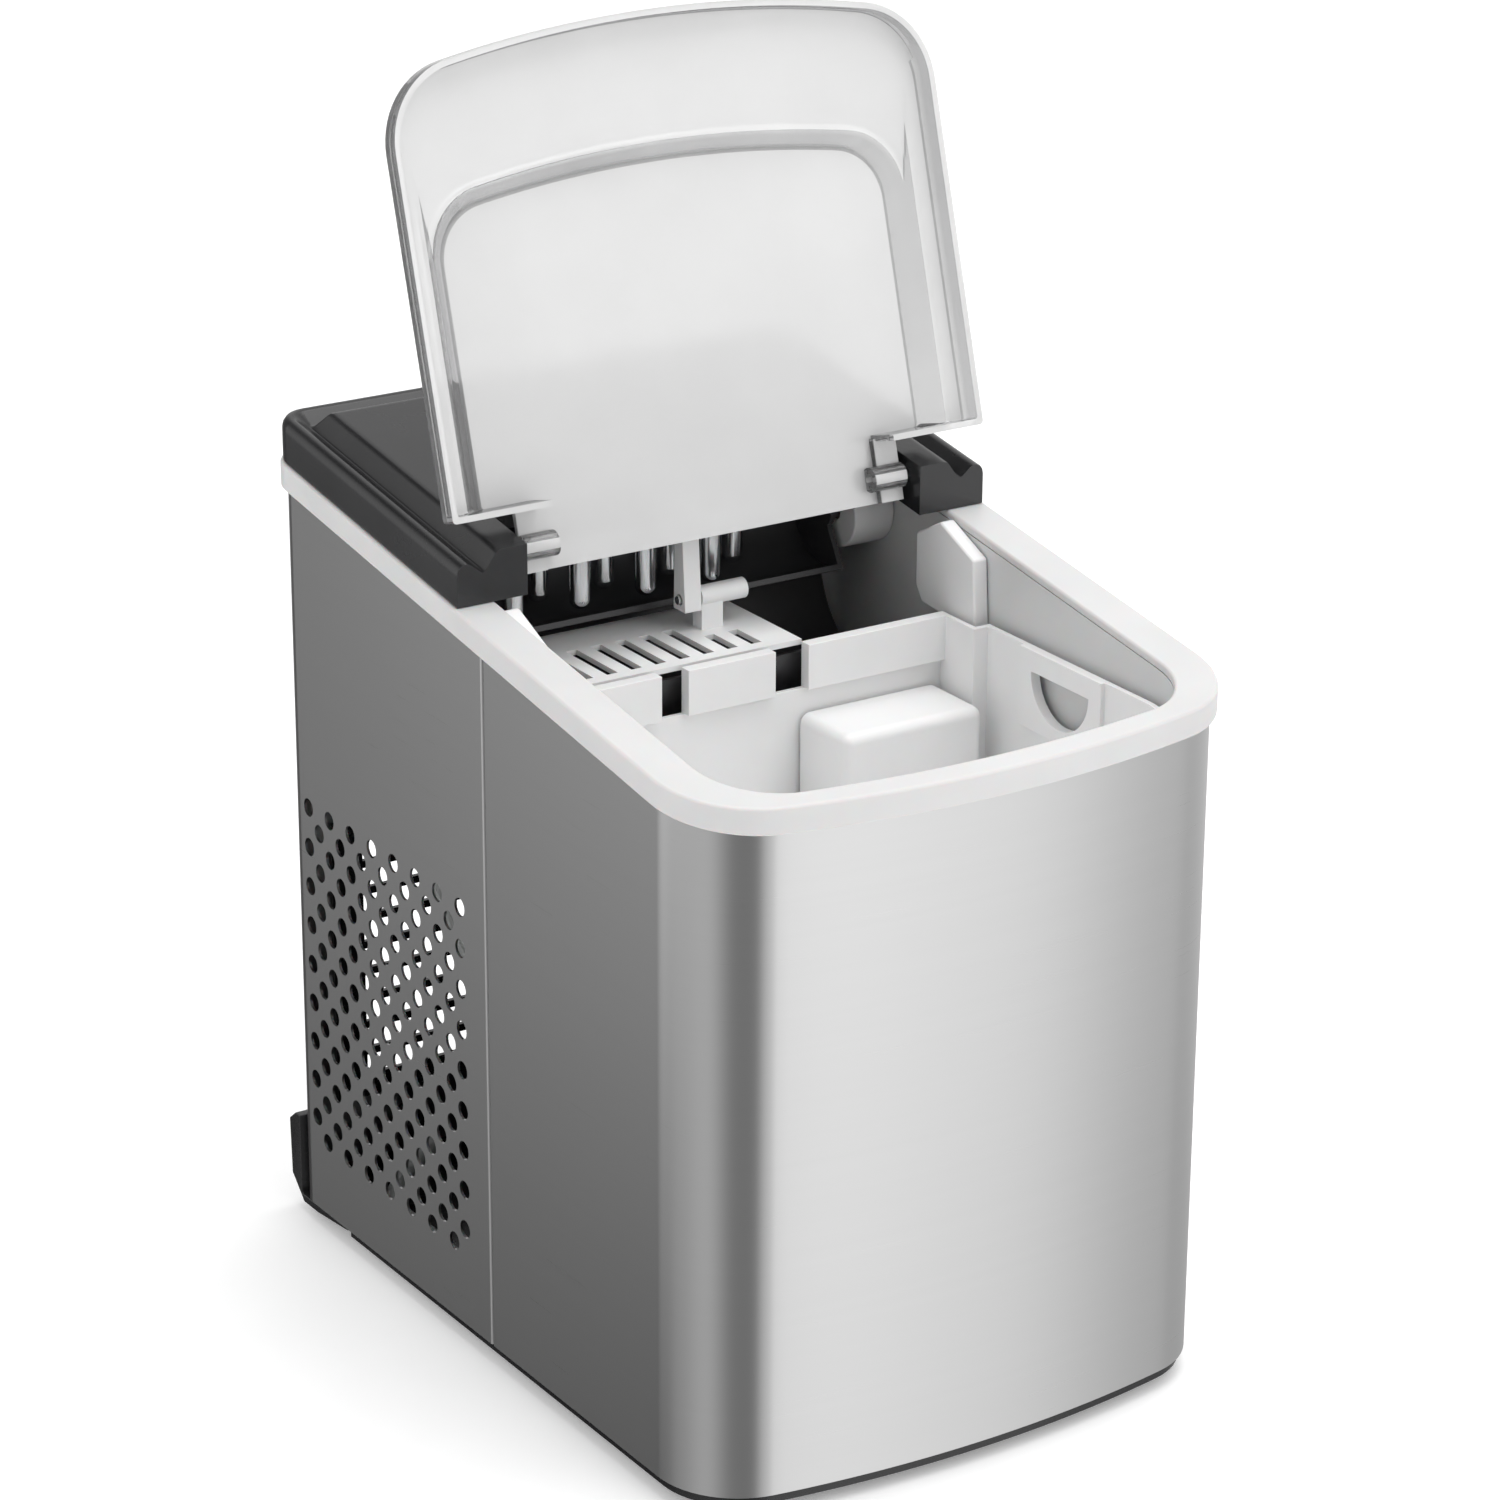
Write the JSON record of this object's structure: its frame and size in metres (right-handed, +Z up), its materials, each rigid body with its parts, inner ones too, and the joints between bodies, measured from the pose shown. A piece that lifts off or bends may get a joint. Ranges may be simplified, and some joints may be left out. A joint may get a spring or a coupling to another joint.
{
  "type": "countertop ice maker",
  "caption": "Compact counter-top ice maker: steel body with side vents, white collar, dark rear cover with control panel, clear hinged lid, lift-out ice basket, tipping water tray.",
  "frame": {"origin": "middle of the object's footprint, on the surface that it stands on", "axes": "+Z up, -Y towards the front (the bowed steel face), +X to the user's right when facing the front"},
  "size_m": [0.2224, 0.3094, 0.4707],
  "materials": {
    "steel": "brushed",
    "collar_white": "milky, slightly translucent satin",
    "white_plastic": "satin moulded",
    "dark_plastic": "fine moulded satin-gloss",
    "grey_plastic": "satin moulded",
    "panel_gloss": "high gloss",
    "clear_lid": "clear moulded",
    "rubber": "matt",
    "nickel": "nickel plated",
    "aluminium": "mill finish",
    "black_enamel": "semi-gloss enamel",
    "copper": "drawn tube",
    "silicone": "clear silicone hose",
    "board": "solder-mask green",
    "lamp": "tinted lens"
  },
  "bodies": {
    "housing": {"front_shell": "steel", "rear_shell": "steel", "collar": "collar_white", "inner_tub": "collar_white", "evaporator_support": "white_plastic", "tray_bearing": "white_plastic", "tray_motor": "white_plastic", "ice_sensor_left": "white_plastic", "ice_sensor_right": "white_plastic", "float_stem": "white_plastic", "base_pan": "dark_plastic", "rear_bumper_left": "dark_plastic", "rear_bumper_right": "dark_plastic", "rear_cover": "dark_plastic", "back_grille": "dark_plastic", "fan_shroud": "dark_plastic", "drip_trough": "grey_plastic", "control_panel": "panel_gloss", "power_inlet": "panel_gloss", "drain_spout": "panel_gloss", "water_pump": "panel_gloss", "foot_front_left": "rubber", "foot_front_right": "rubber", "foot_rear_left": "rubber", "foot_rear_right": "rubber", "compressor_mount_1": "rubber", "compressor_mount_2": "rubber", "compressor_mount_3": "rubber", "compressor_mount_4": "rubber", "evaporator": "nickel", "shovel_pin": "nickel", "hinge_pin_left": "nickel", "hinge_pin_right": "nickel", "back_screw_1": "nickel", "back_screw_2": "nickel", "back_screw_3": "nickel", "back_screw_4": "nickel", "condenser": "aluminium", "fan_motor": "aluminium", "compressor": "black_enamel", "suction_line": "copper", "hot_gas_line": "copper", "pump_hose": "silicone", "fill_hose": "silicone", "drain_hose": "silicone", "control_board": "board", "indicator_lamp_1": "lamp", "indicator_lamp_2": "lamp", "indicator_lamp_3": "lamp", "indicator_lamp_4": "lamp"},
    "lid": {"lid": "clear_lid"},
    "tray": {"water_tray": "grey_plastic"},
    "shovel": {"ice_shovel": "white_plastic"},
    "basket": {"ice_basket": "white_plastic"},
    "power_key": {"power_button": "grey_plastic"},
    "select_key": {"select_button": "grey_plastic"},
    "fan": {"fan_rotor": "grey_plastic"},
    "drain_plug": {"drain_cap": "rubber"},
    "float": {"float_ring": "white_plastic"}
  },
  "joints": [
    {"name": "lid_hinge", "type": "hinge", "parent": "housing", "child": "lid", "pos_m": [0, 0.02213, 0.2978], "axis": [1, 0, 0], "range_deg": [0, 114.7]},
    {"name": "tray_tilt", "type": "hinge", "parent": "housing", "child": "tray", "pos_m": [0, 0.06073, 0.274], "axis": [-1, 0, 0], "range_deg": [0, 60]},
    {"name": "shovel_swing", "type": "hinge", "parent": "housing", "child": "shovel", "pos_m": [0, 0.03473, 0.262], "axis": [-1, 0, 0], "range_deg": [0, 20]},
    {"name": "basket_lift", "type": "slide", "parent": "housing", "child": "basket", "axis": [0, 0, -1], "range_m": [-0.075, 0]},
    {"name": "power_press", "type": "slide", "parent": "housing", "child": "power_key", "axis": [0, 0.1514, -0.9885], "range_m": [0, 0.0008], "stiffness_N_per_m": 600},
    {"name": "select_press", "type": "slide", "parent": "housing", "child": "select_key", "axis": [0, 0.1514, -0.9885], "range_m": [0, 0.0008], "stiffness_N_per_m": 600},
    {"name": "fan_spin", "type": "hinge", "parent": "housing", "child": "fan", "pos_m": [0.06, 0.08573, 0.095], "axis": [1, 0, 0], "continuous": true},
    {"name": "drain_pull", "type": "slide", "parent": "housing", "child": "drain_plug", "axis": [0, 1, 0], "range_m": [0, 0.012]},
    {"name": "float_rise", "type": "slide", "parent": "housing", "child": "float", "axis": [0, 0, 1], "range_m": [0, 0.016]}
  ],
  "couplings": [
    {"joint": "shovel_swing", "follows": "tray_tilt", "ratio": 0.33333}
  ]
}
